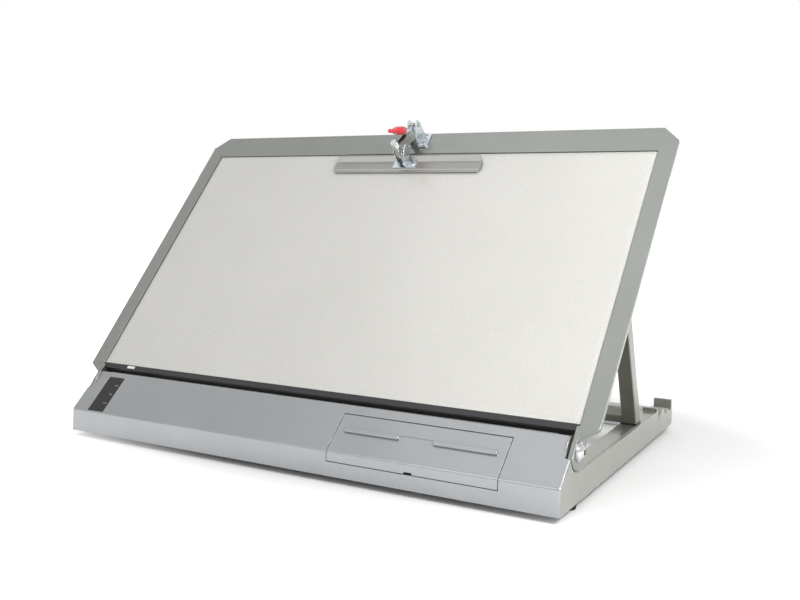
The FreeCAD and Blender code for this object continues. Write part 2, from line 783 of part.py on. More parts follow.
def light_driver():
    """Driver board for the lamps, on the tray's floor."""
    low = tray_back + sheet
    board = box(-60, 60, 200, 240, low, low + 1.6)
    parts = [box(-50, -30, 210, 230, low + 1.6, low + 5.6),
             box(-5, 15, 208, 222, low + 1.6, low + 4.6), rod_z(40, 220, low + 1.6, low + 6.0, 6)]
    return union([board] + parts)


def panel_ledge():
    """Dark strip that carries the panel's lower edge."""
    x = ear_inner - 1.0
    return box(-x, x, ledge_start, panel_bottom - 0.3, board_back, board_face - 2.2)


def lower_rail():
    """Dark bar between the ears, under the tray's lower flange."""
    x = ear_inner
    return slab_x([(ledge_start, board_back), (ledge_start + 2.9, board_back),
                   (ledge_start + 2.9, flange_back), (tray_bottom - 0.5, flange_back),
                   (tray_bottom - 0.5, tray_back + 2), (14.5, tray_back + 2), (17.5, -2)],
                  -x, x, [0, 0, 0, 0, 1, 1, 1])


def ledge_tab():
    """Small pale lift-out tab on the ledge."""
    top = board_face - 2.2
    return slab_z([(-303, 21.6), (-290, 21.6), (-290, 25.2), (-303, 25.2)], top, top + 1.2,
                  [0.8] * 4)


def prop_brackets():
    """L-shaped steel bracket on the back of the frame, one each side."""
    depth = -prop_pivot_depth
    plate = slab_x([(pivot_up - 34, flange_back), (pivot_up - 9, depth - 9),
                    (pivot_up + 9, depth - 9), (pivot_up + 11, flange_back)],
                   bracket_inner, bracket_outer, [0, 8, 8, 0])
    flange = box(bracket_inner, board_half - side_border + 9, pivot_up - 34, pivot_up + 11,
                 flange_back - 2, flange_back)
    holes = [rod_z(a, b, flange_back - 3, flange_back + 1, bracket_screw_radius)
             for a, b in bracket_screw_places() if a > 0]
    holes.append(rod_x(bracket_inner - 1, bracket_outer + 1, pivot_up, depth, pivot_bolt_radius))
    return both_sides(union([plate, flange]).cut(Part.makeCompound(holes)))


def bracket_screws():
    screws = [union([rod_z(a, b, flange_back - 2, board_back + 3, bracket_screw_radius),
                     rod_z(a, b, flange_back - 4, flange_back - 2, 3.8)])
              for a, b in bracket_screw_places()]
    return Part.makeCompound(screws)


def pivot_bolts():
    """Bolts that the prop's legs swing on; head outside, thread in the bracket."""
    depth = -prop_pivot_depth
    shank = rod_x(bracket_inner - 5.2, leg_outer + side_gap + 1.2, pivot_up, depth, pivot_bolt_radius)
    head = slab_x(hexagon(pivot_up, depth, 12.0), leg_outer + side_gap + 1.2,
                  leg_outer + side_gap + 6.0)
    return both_sides(union([shank, head]))


def pivot_nuts():
    depth = -prop_pivot_depth
    nut = slab_x(hexagon(pivot_up, depth, 13.0), bracket_inner - 5, bracket_inner)
    return both_sides(nut.cut(rod_x(bracket_inner - 6, bracket_outer, pivot_up, depth,
                                    pivot_bolt_radius)))


def pivot_washers():
    """Nylon washers either side of each leg."""
    depth = -prop_pivot_depth
    hole = rod_x(bracket_outer - 1, leg_outer + 3, pivot_up, depth, pivot_bolt_radius)
    inside = rod_x(bracket_outer, leg_inner - side_gap, pivot_up, depth, 8.0)
    outside = rod_x(leg_outer + side_gap, leg_outer + side_gap + 1.2, pivot_up, depth, 8.0)
    return both_sides(Part.makeCompound([inside.cut(hole), outside.cut(hole)]))


# ---- prop ----
def leg_length():
    return (pivot_z - foot_bottom) / math.cos(lean) + prop_tube


def prop_frame():
    """Two square-tube legs welded to a square-tube crossbar."""
    half = prop_tube / 2
    length = leg_length()
    foot_top = -(pivot_z - rail_height) / math.cos(lean) + prop_tube - 3.0
    leg = union([box(leg_inner, leg_outer, -half, half, -length, 0),
                 rod_x(leg_inner, leg_outer, 0, 0, half)])
    bar = box(-leg_outer, leg_outer, -half, half, -length, foot_top)
    solid = union([leg, mirrored(leg), bar])
    room = half - prop_wall
    leg_room = box(leg_inner + prop_wall, leg_outer - prop_wall, -room, room, -length - 1, -14)
    bar_room = box(-leg_outer + prop_wall, leg_outer - prop_wall, -room, room, -length - 1,
                   foot_top - prop_wall)
    bore = rod_x(leg_inner - 1, leg_outer + 1, 0, 0, pivot_bolt_radius + run_gap)
    solid = solid.cut(Part.makeCompound([leg_room, mirrored(leg_room), bar_room, bore,
                                         mirrored(bore)]))
    placed = on_prop(solid)
    return placed.cut(box(-half_width, half_width, 0, base_depth, -100, foot_bottom)).removeSplitter()


def foot_section(shrink):
    """Outline of the foot where it is cut level, front and back edges."""
    half = (prop_tube / 2 - shrink) / math.cos(lean)
    centre = pivot_y + (pivot_z - foot_bottom) * math.tan(lean)
    return centre - half, centre + half


def prop_pads():
    """Rubber pads under the crossbar's ends, on the rails."""
    y0, y1 = foot_section(0)
    pad = box(rail_inner + 1, leg_outer, y0, y1, foot_bottom - pad_thickness, foot_bottom)
    return both_sides(pad)


# ---- toggle clamp, in board axes: (a, b) is up the slope and out of the face ----


def clamp_screw_places(shift=0):
    return [(s * 12.5, b + shift) for s in (-1, 1) for b in (430.0, 444.0)]


def clamp_base():
    """Zinc-plated base: a foot flange and an upright on each side."""
    upright = slab_x([(425, board_face), (450, board_face), (452.5, board_face + 22.5),
                      (449.5, board_face + 29.5), (443, board_face + 29.5),
                      (428, board_face + 15.5), (425, board_face + 7)],
                     *upright_lane, [0, 0, 4, 3, 5, 5, 3])
    flange = slab_z([(upright_lane[0], 424), (19.5, 424), (19.5, 450.5), (upright_lane[0], 450.5)],
                    board_face, board_face + clamp_flange, [0, 4, 4, 0])
    bridge = box(-upright_lane[0], upright_lane[0], 447, 449, board_face, board_face + 9)
    holes = [rod_z(a, b, board_face - 1, board_face + 3, clamp_screw_radius)
             for a, b in clamp_screw_places() if a > 0]
    holes += [rod_x(0, 12, *clamp_arm_pivot, rivet_radius),
              rod_x(0, 12, *clamp_link_pivot, rivet_radius)]
    half = union([upright, flange]).cut(Part.makeCompound(holes))
    return union([half, mirrored(half), bridge])


def clamp_base_screws():
    screws = []
    for a, b in clamp_screw_places():
        top = board_face + clamp_flange
        head = Part.makeSphere(4.6, vec(a, b, top - 2.9)).common(
            rod_z(a, b, top, top + 3, 3.4))
        slot = box(a - 4, a + 4, b - 0.4, b + 0.4, top + 0.8, top + 3)
        screws.append(union([rod_z(a, b, board_face - 4.5, top, clamp_screw_radius),
                             head.cut(slot)]))
    return Part.makeCompound(screws)


def arm_rivets():
    """Stub rivets that the arm turns on, one in each upright."""
    stub = rod_x(arm_lane[0], upright_lane[1], *clamp_arm_pivot, rivet_radius)
    head = rod_x(upright_lane[1], upright_lane[1] + 1.2, *clamp_arm_pivot, 2.8)
    return both_sides(union([stub, head]))


def link_rivet():
    x = upright_lane[1]
    return union([rod_x(-x, x, *clamp_link_pivot, rivet_radius),
                  rod_x(x, x + 1.2, *clamp_link_pivot, 2.8),
                  rod_x(-x - 1.2, -x, *clamp_link_pivot, 2.8)])


def clamp_arm():
    """Two arm plates, joined by the sleeve that holds the spindle."""
    n = board_face
    plate = slab_x([(439.5, n + 12), (434.5, n + 7.2), (429, n + 10), (418, n + 19),
                    (400, n + 25), (383, n + 27), (383, n + 36), (400, n + 37.5),
                    (422, n + 31), (429, n + 28), (439.5, n + 16)], *arm_lane,
                   [4, 4, 4, 8, 8, 2, 3, 8, 4, 4, 4])
    sleeve = box(-arm_lane[0], arm_lane[0], spindle_up - 5.5, spindle_up + 5.5, n + 25, n + 37.6)
    bores = [rod_x(-12, 12, *clamp_arm_pivot, rivet_radius + run_gap),
             rod_x(-12, 12, *clamp_handle_pivot, rivet_radius),
             rod_x(-12, 12, *yoke_pin, 2.0),
             rod_z(0, spindle_up, n, n + 50, spindle_radius)]
    return union([plate, mirrored(plate), sleeve]).cut(Part.makeCompound(bores))


def handle_rivet():
    return rod_x(-arm_lane[1], arm_lane[1], *clamp_handle_pivot, rivet_radius)


def clamp_spindle():
    """Threaded spindle with a hex head, pressing on the bar's bracket."""
    n = board_face
    shank = rod_z(0, spindle_up, bar_seat + bracket_sheet + 3.5, n + 42, spindle_radius)
    head = slab_z(hexagon(0, spindle_up, 10.0), n + 41, n + 47.5)
    foot = Part.makeCone(4.6, 3.4, 4.0, vec(0, spindle_up, bar_seat + bracket_sheet))
    return union([shank, head, foot])


def spindle_nuts():
    n = board_face
    nuts = [slab_z(hexagon(0, spindle_up, 9.0), z0, z0 + 3.4) for z0 in (n + 37.6, n + 21.6)]
    hole = rod_z(0, spindle_up, n, n + 60, spindle_radius)
    return Part.makeCompound([nut.cut(hole) for nut in nuts])


def bar_bracket():
    """Hat-section yoke on the clamp bar, pinned to the arm."""
    low = bar_seat
    x0 = upright_lane[0] + 0.2
    upright = slab_x([(381.5, low), (393, low), (393, low + 7.5), (403, low + 9),
                      (408, board_face + 26), (401, board_face + 33), (385, board_face + 25)],
                     x0, x0 + bracket_sheet, [0, 0, 0, 3, 4, 4, 3])
    flange = slab_z([(0, 381.5), (18, 381.5), (18, 393.4), (0, 393.4)], low,
                    low + bracket_sheet, [0, 1, 1, 0])
    half = union([upright, flange]).cut(rod_x(0, 12, *yoke_pin, 2.0))
    half = half.cut(rod_z(13, 387, low - 1, low + 3, 1.5))
    return union([half, mirrored(half)])


def bracket_pin():
    x = upright_lane[0] + 0.2 + bracket_sheet
    return union([rod_x(-x, x, *yoke_pin, 2.0), rod_x(x, x + 1.0, *yoke_pin, 3.0),
                  rod_x(-x - 1.0, -x, *yoke_pin, 3.0)])


def bar_rivets():
    rivets = []
    for a in (-13, 13):
        top = bar_seat + bracket_sheet
        dome = Part.makeSphere(3.2, vec(a, 387, top - 1.7)).common(rod_z(a, 387, top, top + 2, 2.7))
        rivets.append(union([rod_z(a, 387, bar_base, top, 1.5), dome]))
    return Part.makeCompound(rivets)


def clamp_bar():
    """Aluminium extrusion: a flat plate with a raised rib behind and a thin front lip."""
    b0, b1 = bar_front, bar_front + bar_width
    section = slab_x([(b0, bar_base), (b1, bar_base), (b1, bar_base + 9), (b1 - 3, bar_base + 9.6),
                      (b1 - 8, bar_seat), (b0 + 4.5, bar_seat), (b0 + 3.5, bar_base + 1.8),
                      (b0, bar_base + 1.4)], -bar_length / 2, bar_length / 2,
                     [0, 0, 1, 1, 1, 0.5, 0.5, 0])
    x = bar_length / 2
    shape = slab_z([(-x + 3, b0), (x - 3, b0), (x, b0 + 5), (x, b0 + 16), (x - 5, b1),
                    (-x + 5, b1), (-x, b0 + 16), (-x, b0 + 5)], bar_base - 1, bar_base + 12)
    holes = [rod_z(a, 387, bar_base - 1, bar_seat + 1, 1.5) for a in (-13, 13)]
    return section.common(shape).cut(Part.makeCompound(holes))


def bar_grip_strip():
    x = bar_length / 2 - 4
    return box(-x, x, bar_front + 1.5, bar_front + bar_width - 2, panel_face + rest_gap, bar_base)


def handle_plates():
    """Two pressed handle plates that run up into the grip."""
    n = board_face
    plate = slab_x([(420, n + 24), (424, n + 21.6), (436, n + 19.8), (439.4, n + 22.5),
                    (438.5, n + 26.5), (429, n + 33), (404, n + 58), (399, n + 54),
                    (419.8, n + 31)], *handle_lane, [2, 3, 3, 2, 3, 6, 2, 2, 4])
    plate = plate.cut(rod_x(-12, 12, *clamp_handle_pivot, rivet_radius + run_gap))
    return both_sides(plate)


def handle_grip():
    """Moulded red grip over the handle plates, thinner towards its tip."""
    (b0, n0), (b1, n1) = grip_start, grip_end
    length = math.hypot(b1 - b0, n1 - n0)
    waist = length - 12
    body = slab_x([(0, -5.4), (waist - 6, -5.4), (waist, -3.8), (length, -3.4), (length, 3.4),
                   (waist, 3.8), (waist - 6, 5.4), (0, 5.4)], -9, 9, [2, 8, 8, 2.5, 2.5, 8, 8, 2])
    plan = slab_z([(-6.2, 0), (6.2, 0), (7.2, 8), (7.0, waist - 6), (4.8, waist), (4.2, length),
                   (-4.2, length), (-4.8, waist), (-7.0, waist - 6), (-7.2, 8)], -6, 6,
                  [2, 2, 6, 8, 6, 3, 3, 6, 8, 6])
    turn = math.degrees(math.atan2(n1 - n0, b1 - b0))
    grip = body.common(plan).rotated(vec(0, 0, 0), vec(1, 0, 0), turn)
    return grip.translated(vec(0, b0, n0)).cut(handle_plates())


def clamp_link():
    (b0, n0), (b1, n1) = clamp_link_pivot, clamp_open_pivot
    half_a = rod_x(-link_half, link_half, b0, n0, 3.3)
    half_b = rod_x(-link_half, link_half, b1, n1, 3.0)
    waist = box(-link_half, link_half, b1, b0, min(n0, n1) - 2.4, max(n0, n1) + 2.4)
    return union([half_a, half_b, waist]).cut(Part.makeCompound([
        rod_x(-2, 2, b0, n0, rivet_radius + run_gap), rod_x(-2, 2, b1, n1, rivet_radius)]))


parts = {
    "right_side_rail": side_rail(),
    "left_side_rail": mirrored(side_rail()),
    "rear_cross_member": rear_member(),
    "cross_member_screws": member_screws(),
    "rubber_feet": rubber_feet(),
    "foot_screws": foot_screws(),
    "console_cover": console_cover(),
    "console_floor": console_floor(),
    "floor_screw_blocks": floor_blocks(),
    "floor_screws": floor_screws(),
    "storage_bin": storage_bin(),
    "lid_catch": lid_catch(),
    "control_window": control_window(),
    "control_housing": control_housing(),
    "control_board": control_board(),
    "indicator_lights": indicator_lights(),
    "power_inlet": power_inlet(),
    "hinge_bolts": hinge_bolts(),
    "hinge_washers": hinge_washers(),
    "hinge_nuts": hinge_nuts(),
    "lid_hinge_pins": lid_pins(),
    "storage_lid": storage_lid(),
    "lid_ribs": lid_ribs(),
    "board_frame": on_board(board_frame()),
    "hinge_bushes": on_board(hinge_bushes()),
    "drawing_panel": on_board(drawing_panel()),
    "light_tray": on_board(light_tray()),
    "tray_screws": on_board(tray_screws()),
    "light_guide": on_board(light_guide()),
    "light_reflector": on_board(light_reflector()),
    "led_strips": on_board(led_strips()),
    "guide_spacers": on_board(guide_spacers()),
    "light_driver": on_board(light_driver()),
    "panel_ledge": on_board(panel_ledge()),
    "ledge_tab": on_board(ledge_tab()),
    "lower_rail": on_board(lower_rail()),
    "prop_brackets": on_board(prop_brackets()),
    "bracket_screws": on_board(bracket_screws()),
    "prop_pivot_bolts": on_board(pivot_bolts()),
    "prop_pivot_nuts": on_board(pivot_nuts()),
    "prop_pivot_washers": on_board(pivot_washers()),
    "clamp_base": clamp_on_board(clamp_base()),
    "clamp_base_screws": clamp_on_board(clamp_base_screws()),
    "arm_rivets": clamp_on_board(arm_rivets()),
    "link_rivet": clamp_on_board(link_rivet()),
    "prop_frame": prop_frame(),
    "prop_foot_pads": prop_pads(),
    "clamp_arm": clamp_on_board(clamp_arm()),
    "handle_rivet": clamp_on_board(handle_rivet()),
    "clamp_spindle": clamp_on_board(clamp_spindle()),
    "spindle_nuts": clamp_on_board(spindle_nuts()),
    "bar_bracket": clamp_on_board(bar_bracket()),
    "bracket_pin": clamp_on_board(bracket_pin()),
    "bar_rivets": clamp_on_board(bar_rivets()),
    "clamp_bar": clamp_on_board(clamp_bar()),
    "bar_grip_strip": clamp_on_board(bar_grip_strip()),
    "handle_plates": clamp_on_board(handle_plates()),
    "handle_grip": clamp_on_board(handle_grip()),
    "clamp_link": clamp_on_board(clamp_link()),
}

os.makedirs("parts", exist_ok=True)
for name, shape in parts.items():
    set_down(shape).exportStep("parts/" + name + ".step")
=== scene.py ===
"""Looks of a tabletop drafting table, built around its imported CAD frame.

The table is put together in this order: the console and side rails, the storage lid, the
drawing board with its panel, the prop, and the toggle clamp with its bar.  Lengths are
written in millimetres and turned to metres where a mesh is made.
"""
import json
import math

import bmesh
import bpy
import numpy as np
from mathutils import Matrix, Vector


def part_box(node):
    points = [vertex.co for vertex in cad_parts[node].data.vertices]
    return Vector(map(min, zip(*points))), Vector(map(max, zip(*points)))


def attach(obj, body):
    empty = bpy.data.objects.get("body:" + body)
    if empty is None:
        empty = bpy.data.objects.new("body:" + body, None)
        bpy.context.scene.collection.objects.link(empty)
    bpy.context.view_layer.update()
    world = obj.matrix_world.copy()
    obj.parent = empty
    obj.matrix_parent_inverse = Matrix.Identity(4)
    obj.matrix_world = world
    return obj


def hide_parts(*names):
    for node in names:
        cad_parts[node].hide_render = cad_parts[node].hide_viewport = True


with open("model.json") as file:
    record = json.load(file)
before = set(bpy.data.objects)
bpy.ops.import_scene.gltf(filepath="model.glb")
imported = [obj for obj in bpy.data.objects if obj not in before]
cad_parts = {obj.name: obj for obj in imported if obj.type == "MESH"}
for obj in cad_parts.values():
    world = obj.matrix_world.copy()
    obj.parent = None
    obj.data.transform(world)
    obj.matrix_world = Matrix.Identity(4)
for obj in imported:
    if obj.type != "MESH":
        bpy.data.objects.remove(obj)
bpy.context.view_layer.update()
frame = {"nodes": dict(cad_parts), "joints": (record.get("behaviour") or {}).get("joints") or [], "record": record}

MM = 0.001


# ---- Console cover and side rails ----
# Folded 3 mm steel sheet and channel rails, welded, ground and sprayed with a silver-grey
# enamel that carries aluminium flake and is baked hard.  The paint eases every cut edge.
def linear(code):
    """Linear RGBA of an sRGB hex colour."""
    srgb = np.array([int(code[i:i + 2], 16) for i in (1, 3, 5)]) / 255
    rgb = np.where(srgb <= 0.04045, srgb / 12.92, ((srgb + 0.055) / 1.055) ** 2.4)
    return (*rgb.tolist(), 1.0)


def add(tree, kind, links, **settings):
    """Adds a node; links gives each input a value or the socket that feeds it."""
    node = tree.nodes.new("ShaderNode" + kind)
    for name, value in settings.items():
        setattr(node, name, value)
    for key, value in links.items():
        if isinstance(value, bpy.types.NodeSocket):
            tree.links.new(value, node.inputs[key])
        else:
            node.inputs[key].default_value = value
    return node


def finish(name, **sockets):
    """New material with these values on its shader, and its pattern space in millimetres."""
    material = bpy.data.materials.new(name)
    material.use_nodes = True
    tree = material.node_tree
    shader = tree.nodes["Principled BSDF"]
    for socket, value in sockets.items():
        shader.inputs[socket.replace("_", " ")].default_value = value
    place = add(tree, "TexCoord", {})
    space = add(tree, "Mapping", {"Vector": place.outputs["Object"], "Scale": (1000,) * 3})
    return material, tree, shader, space.outputs["Vector"]


def baked_enamel(name, colour, shade, gloss):
    """Sprayed and baked flake enamel: faint orange peel 2.5 mm across, clouding 70 mm across
    where the spray lay thicker, and fine settled specks 0.9 mm across.  The flake gives a
    soft metallic sheen under a thin clear gloss."""
    material, tree, shader, space = finish(
        name, Metallic=0.8, Specular_IOR_Level=0.5, Coat_Weight=0.3, Coat_Roughness=0.12)
    cloud = add(tree, "TexNoise", {"Vector": space, "Scale": 1 / 70, "Detail": 4.0})
    speck = add(tree, "TexNoise", {"Vector": space, "Scale": 1 / 0.9, "Detail": 2.0})
    tone = add(tree, "Mix", {0: cloud.outputs["Fac"], 6: linear(shade), 7: linear(colour)},
               data_type="RGBA")
    dust = add(tree, "MapRange", {"Value": speck.outputs["Fac"], "From Min": 0.66,
                                  "From Max": 0.8, "To Min": 0.0, "To Max": 0.12})
    dusted = add(tree, "Mix", {0: dust.outputs["Result"], 6: tone.outputs[2],
                               7: linear(shade)}, data_type="RGBA")
    tree.links.new(dusted.outputs[2], shader.inputs["Base Color"])
    rub = add(tree, "TexNoise", {"Vector": space, "Scale": 1 / 18, "Detail": 6.0,
                                 "Roughness": 0.65})
    matt = add(tree, "MapRange", {"Value": rub.outputs["Fac"], "From Min": 0.3,
                                  "From Max": 0.7, "To Min": gloss - 0.02,
                                  "To Max": gloss + 0.04})
    tree.links.new(matt.outputs["Result"], shader.inputs["Roughness"])
    peel = add(tree, "TexNoise", {"Vector": space, "Scale": 1 / 2.5, "Detail": 2.0})
    bump = add(tree, "Bump", {"Height": peel.outputs["Fac"], "Strength": 0.15,
                              "Distance": 0.02 * MM})
    tree.links.new(bump.outputs["Normal"], shader.inputs["Normal"])
    return material


def eased(node, radius, sharp=28, flat=0.6):
    """A CAD node's own surface with its doubles merged and its flat triangles joined where
    flat is not 0, each edge that turns by more than sharp degrees rounded to radius
    millimetres."""
    source = frame["nodes"][node].data
    points = np.empty(len(source.vertices) * 3)
    source.vertices.foreach_get("co", points)
    corners = np.empty(len(source.polygons) * 3, np.int32)
    source.polygons.foreach_get("vertices", corners)
    merged, place = np.unique(points.reshape(-1, 3).round(6), axis=0, return_inverse=True)
    faces = place.reshape(-1)[corners].reshape(-1, 3)
    whole = (faces != np.roll(faces, 1, axis=1)).all(axis=1)
    mesh = bpy.data.meshes.new(node + "_finished")
    mesh.from_pydata(merged, [], faces[whole])
    shape = bmesh.new()
    shape.from_mesh(mesh)
    if flat:
        bmesh.ops.dissolve_limit(shape, angle_limit=math.radians(flat), verts=shape.verts,
                                 edges=shape.edges)
    shape.to_mesh(mesh)
    shape.free()
    piece = bpy.data.objects.new(mesh.name, mesh)
    bpy.context.scene.collection.objects.link(piece)
    mesh.shade_smooth()
    rounding = piece.modifiers.new("rounding", "BEVEL")
    rounding.width = radius * MM
    rounding.segments = 2
    rounding.limit_method = "ANGLE"
    rounding.angle_limit = math.radians(sharp)
    rounding.use_clamp_overlap = False
    rounding.miter_outer = "MITER_ARC"
    piece.modifiers.new("shading", "WEIGHTED_NORMAL").keep_sharp = True
    return piece


def fit(piece, body, material, slot, *nodes):
    """The piece gets its material, rides on its body and stands for these CAD nodes."""
    piece.data.materials.append(material)
    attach(piece, body)
    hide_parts(*nodes)


def dress(material, *nodes):
    """CAD nodes whose shape is right keep it and get this material."""
    for node in nodes:
        frame["nodes"][node].material_slots[0].material = material


silver_enamel = baked_enamel("silver_enamel", "#9FA1A3", "#949698", 0.31)
rail_enamel = baked_enamel("rail_enamel", "#A6A69F", "#9B9B94", 0.28)
fit(eased("console_cover", 0.5), "base", silver_enamel, "silver_paint", "console_cover")
for side in ("right", "left"):
    fit(eased(f"{side}_side_rail", 0.45), "base", rail_enamel, "silver_paint",
        f"{side}_side_rail")
fit(eased("rear_cross_member", 0.8), "base", rail_enamel, "silver_paint", "rear_cross_member")
dress(silver_enamel, "console_floor")


# ---- Screws, washers and nuts ----
# Stock machine screws, washers and nuts in bright zinc plate.  The bath leaves a pale blue
# bloom with a fine matt grain.
def zinc_plate(name, colour, shade, rough):
    """Zinc-plated steel: grain 0.6 mm across (drawn coarser than the real 0.05 mm so that it
    shows), with pale and dark patches 6 mm across where the bath lay longer."""
    material, tree, shader, space = finish(name, Metallic=1.0)
    patch = add(tree, "TexNoise", {"Vector": space, "Scale": 1 / 6, "Detail": 5.0,
                                   "Roughness": 0.6})
    tone = add(tree, "Mix", {0: patch.outputs["Fac"], 6: linear(shade), 7: linear(colour)},
               data_type="RGBA")
    tree.links.new(tone.outputs[2], shader.inputs["Base Color"])
    grain = add(tree, "TexNoise", {"Vector": space, "Scale": 1 / 0.6, "Detail": 3.0})
    matt = add(tree, "MapRange", {"Value": grain.outputs["Fac"], "From Min": 0.3,
                                  "From Max": 0.7, "To Min": rough - 0.08,
                                  "To Max": rough + 0.12})
    tree.links.new(matt.outputs["Result"], shader.inputs["Roughness"])
    bump = add(tree, "Bump", {"Height": grain.outputs["Fac"], "Strength": 0.3,
                              "Distance": 0.01 * MM})
    tree.links.new(bump.outputs["Normal"], shader.inputs["Normal"])
    return material


bright_zinc = zinc_plate("bright_zinc_plate", "#DDE3E6", "#AEB6BA", 0.26)
screw_zinc = zinc_plate("screw_zinc_plate", "#C4C6C8", "#8E9194", 0.34)
dull_zinc = zinc_plate("dulled_pressed_steel", "#C4C6C0", "#969890", 0.34)
polished_bolt = zinc_plate("nickel_plate", "#E4E4E2", "#C6C6C4", 0.12)
fit(eased("hinge_bolts", 0.25), "base", polished_bolt, "chrome_steel", "hinge_bolts")
fit(eased("hinge_washers", 0.2), "base", bright_zinc, "zinc_steel", "hinge_washers")
fit(eased("hinge_nuts", 0.4), "base", bright_zinc, "zinc_steel", "hinge_nuts")
dress(screw_zinc, "cross_member_screws", "foot_screws", "floor_screws", "lid_hinge_pins",
      "tray_screws", "bracket_screws")


# ---- Rubber feet and pads ----
# Feet moulded in black natural rubber, turned smaller towards the table, with a ring lip
# and a recess for the screw.  Dust and the mould's grain leave the rubber dull.
def natural_rubber():
    """Moulded rubber: fine pitting 0.7 mm across and a pale bloom in patches of 8 mm."""
    material, tree, shader, space = finish("natural_rubber", Specular_IOR_Level=0.35)
    bloom = add(tree, "TexNoise", {"Vector": space, "Scale": 1 / 8, "Detail": 6.0})
    tone = add(tree, "Mix", {0: bloom.outputs["Fac"], 6: linear("#141414"),
                             7: linear("#2C2B2A")}, data_type="RGBA")
    tree.links.new(tone.outputs[2], shader.inputs["Base Color"])
    pits = add(tree, "TexVoronoi", {"Vector": space, "Scale": 1 / 0.7})
    matt = add(tree, "MapRange", {"Value": pits.outputs["Distance"], "To Min": 0.62,
                                  "To Max": 0.85})
    tree.links.new(matt.outputs["Result"], shader.inputs["Roughness"])
    bump = add(tree, "Bump", {"Height": pits.outputs["Distance"], "Strength": 0.4,
                              "Distance": 0.05 * MM})
    tree.links.new(bump.outputs["Normal"], shader.inputs["Normal"])
    return material


def skin(name, grid, ends=True):
    """Mesh of a grid of points in metres: rows run along the piece and columns round it, the
    last column joining the first.  The first and last rows are closed by a flat face."""
    rows, columns = grid.shape[:2]
    index = np.arange(rows * columns).reshape(rows, columns)
    following = np.roll(index, -1, axis=1)
    faces = np.stack([index[:-1], following[:-1], following[1:], index[1:]], -1)
    faces = faces.reshape(-1, 4).tolist()
    if ends:
        faces += [index[0][::-1].tolist(), index[-1].tolist()]
    mesh = bpy.data.meshes.new(name)
    mesh.from_pydata(grid.reshape(-1, 3), [], faces)
    shape = bmesh.new()
    shape.from_mesh(mesh)
    bmesh.ops.recalc_face_normals(shape, faces=shape.faces)
    shape.to_mesh(mesh)
    shape.free()
    mesh.shade_smooth()
    mesh.set_sharp_from_angle(angle=math.radians(32))
    piece = bpy.data.objects.new(name, mesh)
    bpy.context.scene.collection.objects.link(piece)
    return piece


def joined(name, pieces):
    """Several like pieces made one mesh."""
    shape = bmesh.new()
    for piece in pieces:
        shape.from_mesh(piece.data)
        bpy.data.objects.remove(piece)
    mesh = bpy.data.meshes.new(name)
    shape.to_mesh(mesh)
    shape.free()
    made = bpy.data.objects.new(name, mesh)
    bpy.context.scene.collection.objects.link(made)
    return made


def rubber_foot(x, y, top):
    """A profile of (radius, height) turned round a vertical axis at (x, y)."""
    radius = np.array([2.0, 4.2, 4.5, 4.5, 4.9, 7.5, 8.0, 8.4, 9.0, 9.4, 9.5, 9.3, 8.9, 2.0])
    height = np.array([3.0, 3.0, 2.8, 0.3, 0.0, 0.0, 0.2, 1.0, 4.6, 6.6, 7.2, 7.7, 8.0, 8.0])
    sole = top - height.max() * MM
    turn = np.linspace(0, 2 * math.pi, 64, endpoint=False)
    across = radius[:, None] * MM
    up = np.broadcast_to((height * MM)[:, None], (len(height), len(turn)))
    grid = np.stack([x + across * np.cos(turn), y + across * np.sin(turn), sole + up], -1)
    return skin("foot", np.concatenate([grid, grid[:1]]), ends=False)


rubber = natural_rubber()
feet_low, feet_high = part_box("rubber_feet")
foot_radius = 9.5 * MM
back_inset = 4.5 * MM         # the back feet stand further in than the front ones
feet = joined("rubber_feet_moulded", [
    rubber_foot(side * (feet_high.x - foot_radius - inset), y, feet_high.z)
    for side in (-1, 1)
    for inset, y in ((0, feet_low.y + foot_radius), (back_inset, feet_high.y - foot_radius))])
fit(feet, "base", rubber, "rubber", "rubber_feet")
fit(eased("prop_foot_pads", 0.3), "prop", rubber, "rubber", "prop_foot_pads")
dress(rubber, "bar_grip_strip")


# ---- Storage lid ----
# The lid is cut from the same folded sheet as the cover and turns on two pins.  Two pressed
# ribs give the fingers a hold, and a notch in its lip opens it.
fit(eased("storage_lid", 0.5), "storage_lid", silver_enamel, "silver_paint", "storage_lid")
fit(eased("lid_ribs", 0.3), "storage_lid", silver_enamel, "silver_paint", "lid_ribs")


# ---- Console insides ----
# The bin, the control housing and the blocks are injection-moulded ABS and nylon, with a
# fine spark-eroded texture.  The bin shows when the lid is open.
def moulded_plastic(name, colour, shade, rough):
    """Injection-moulded plastic: spark-eroded grain 0.8 mm across and slow tone changes
    30 mm across from uneven cooling; it looks even and slightly soft."""
    material, tree, shader, space = finish(name)
    flow = add(tree, "TexNoise", {"Vector": space, "Scale": 1 / 30, "Detail": 3.0})
    tone = add(tree, "Mix", {0: flow.outputs["Fac"], 6: linear(shade), 7: linear(colour)},
               data_type="RGBA")
    tree.links.new(tone.outputs[2], shader.inputs["Base Color"])
    grain = add(tree, "TexNoise", {"Vector": space, "Scale": 1 / 0.8, "Detail": 2.0})
    matt = add(tree, "MapRange", {"Value": grain.outputs["Fac"], "From Min": 0.3,
                                  "From Max": 0.7, "To Min": rough - 0.06,
                                  "To Max": rough + 0.08})
    tree.links.new(matt.outputs["Result"], shader.inputs["Roughness"])
    bump = add(tree, "Bump", {"Height": grain.outputs["Fac"], "Strength": 0.5,
                              "Distance": 0.03 * MM})
    tree.links.new(bump.outputs["Normal"], shader.inputs["Normal"])
    return material


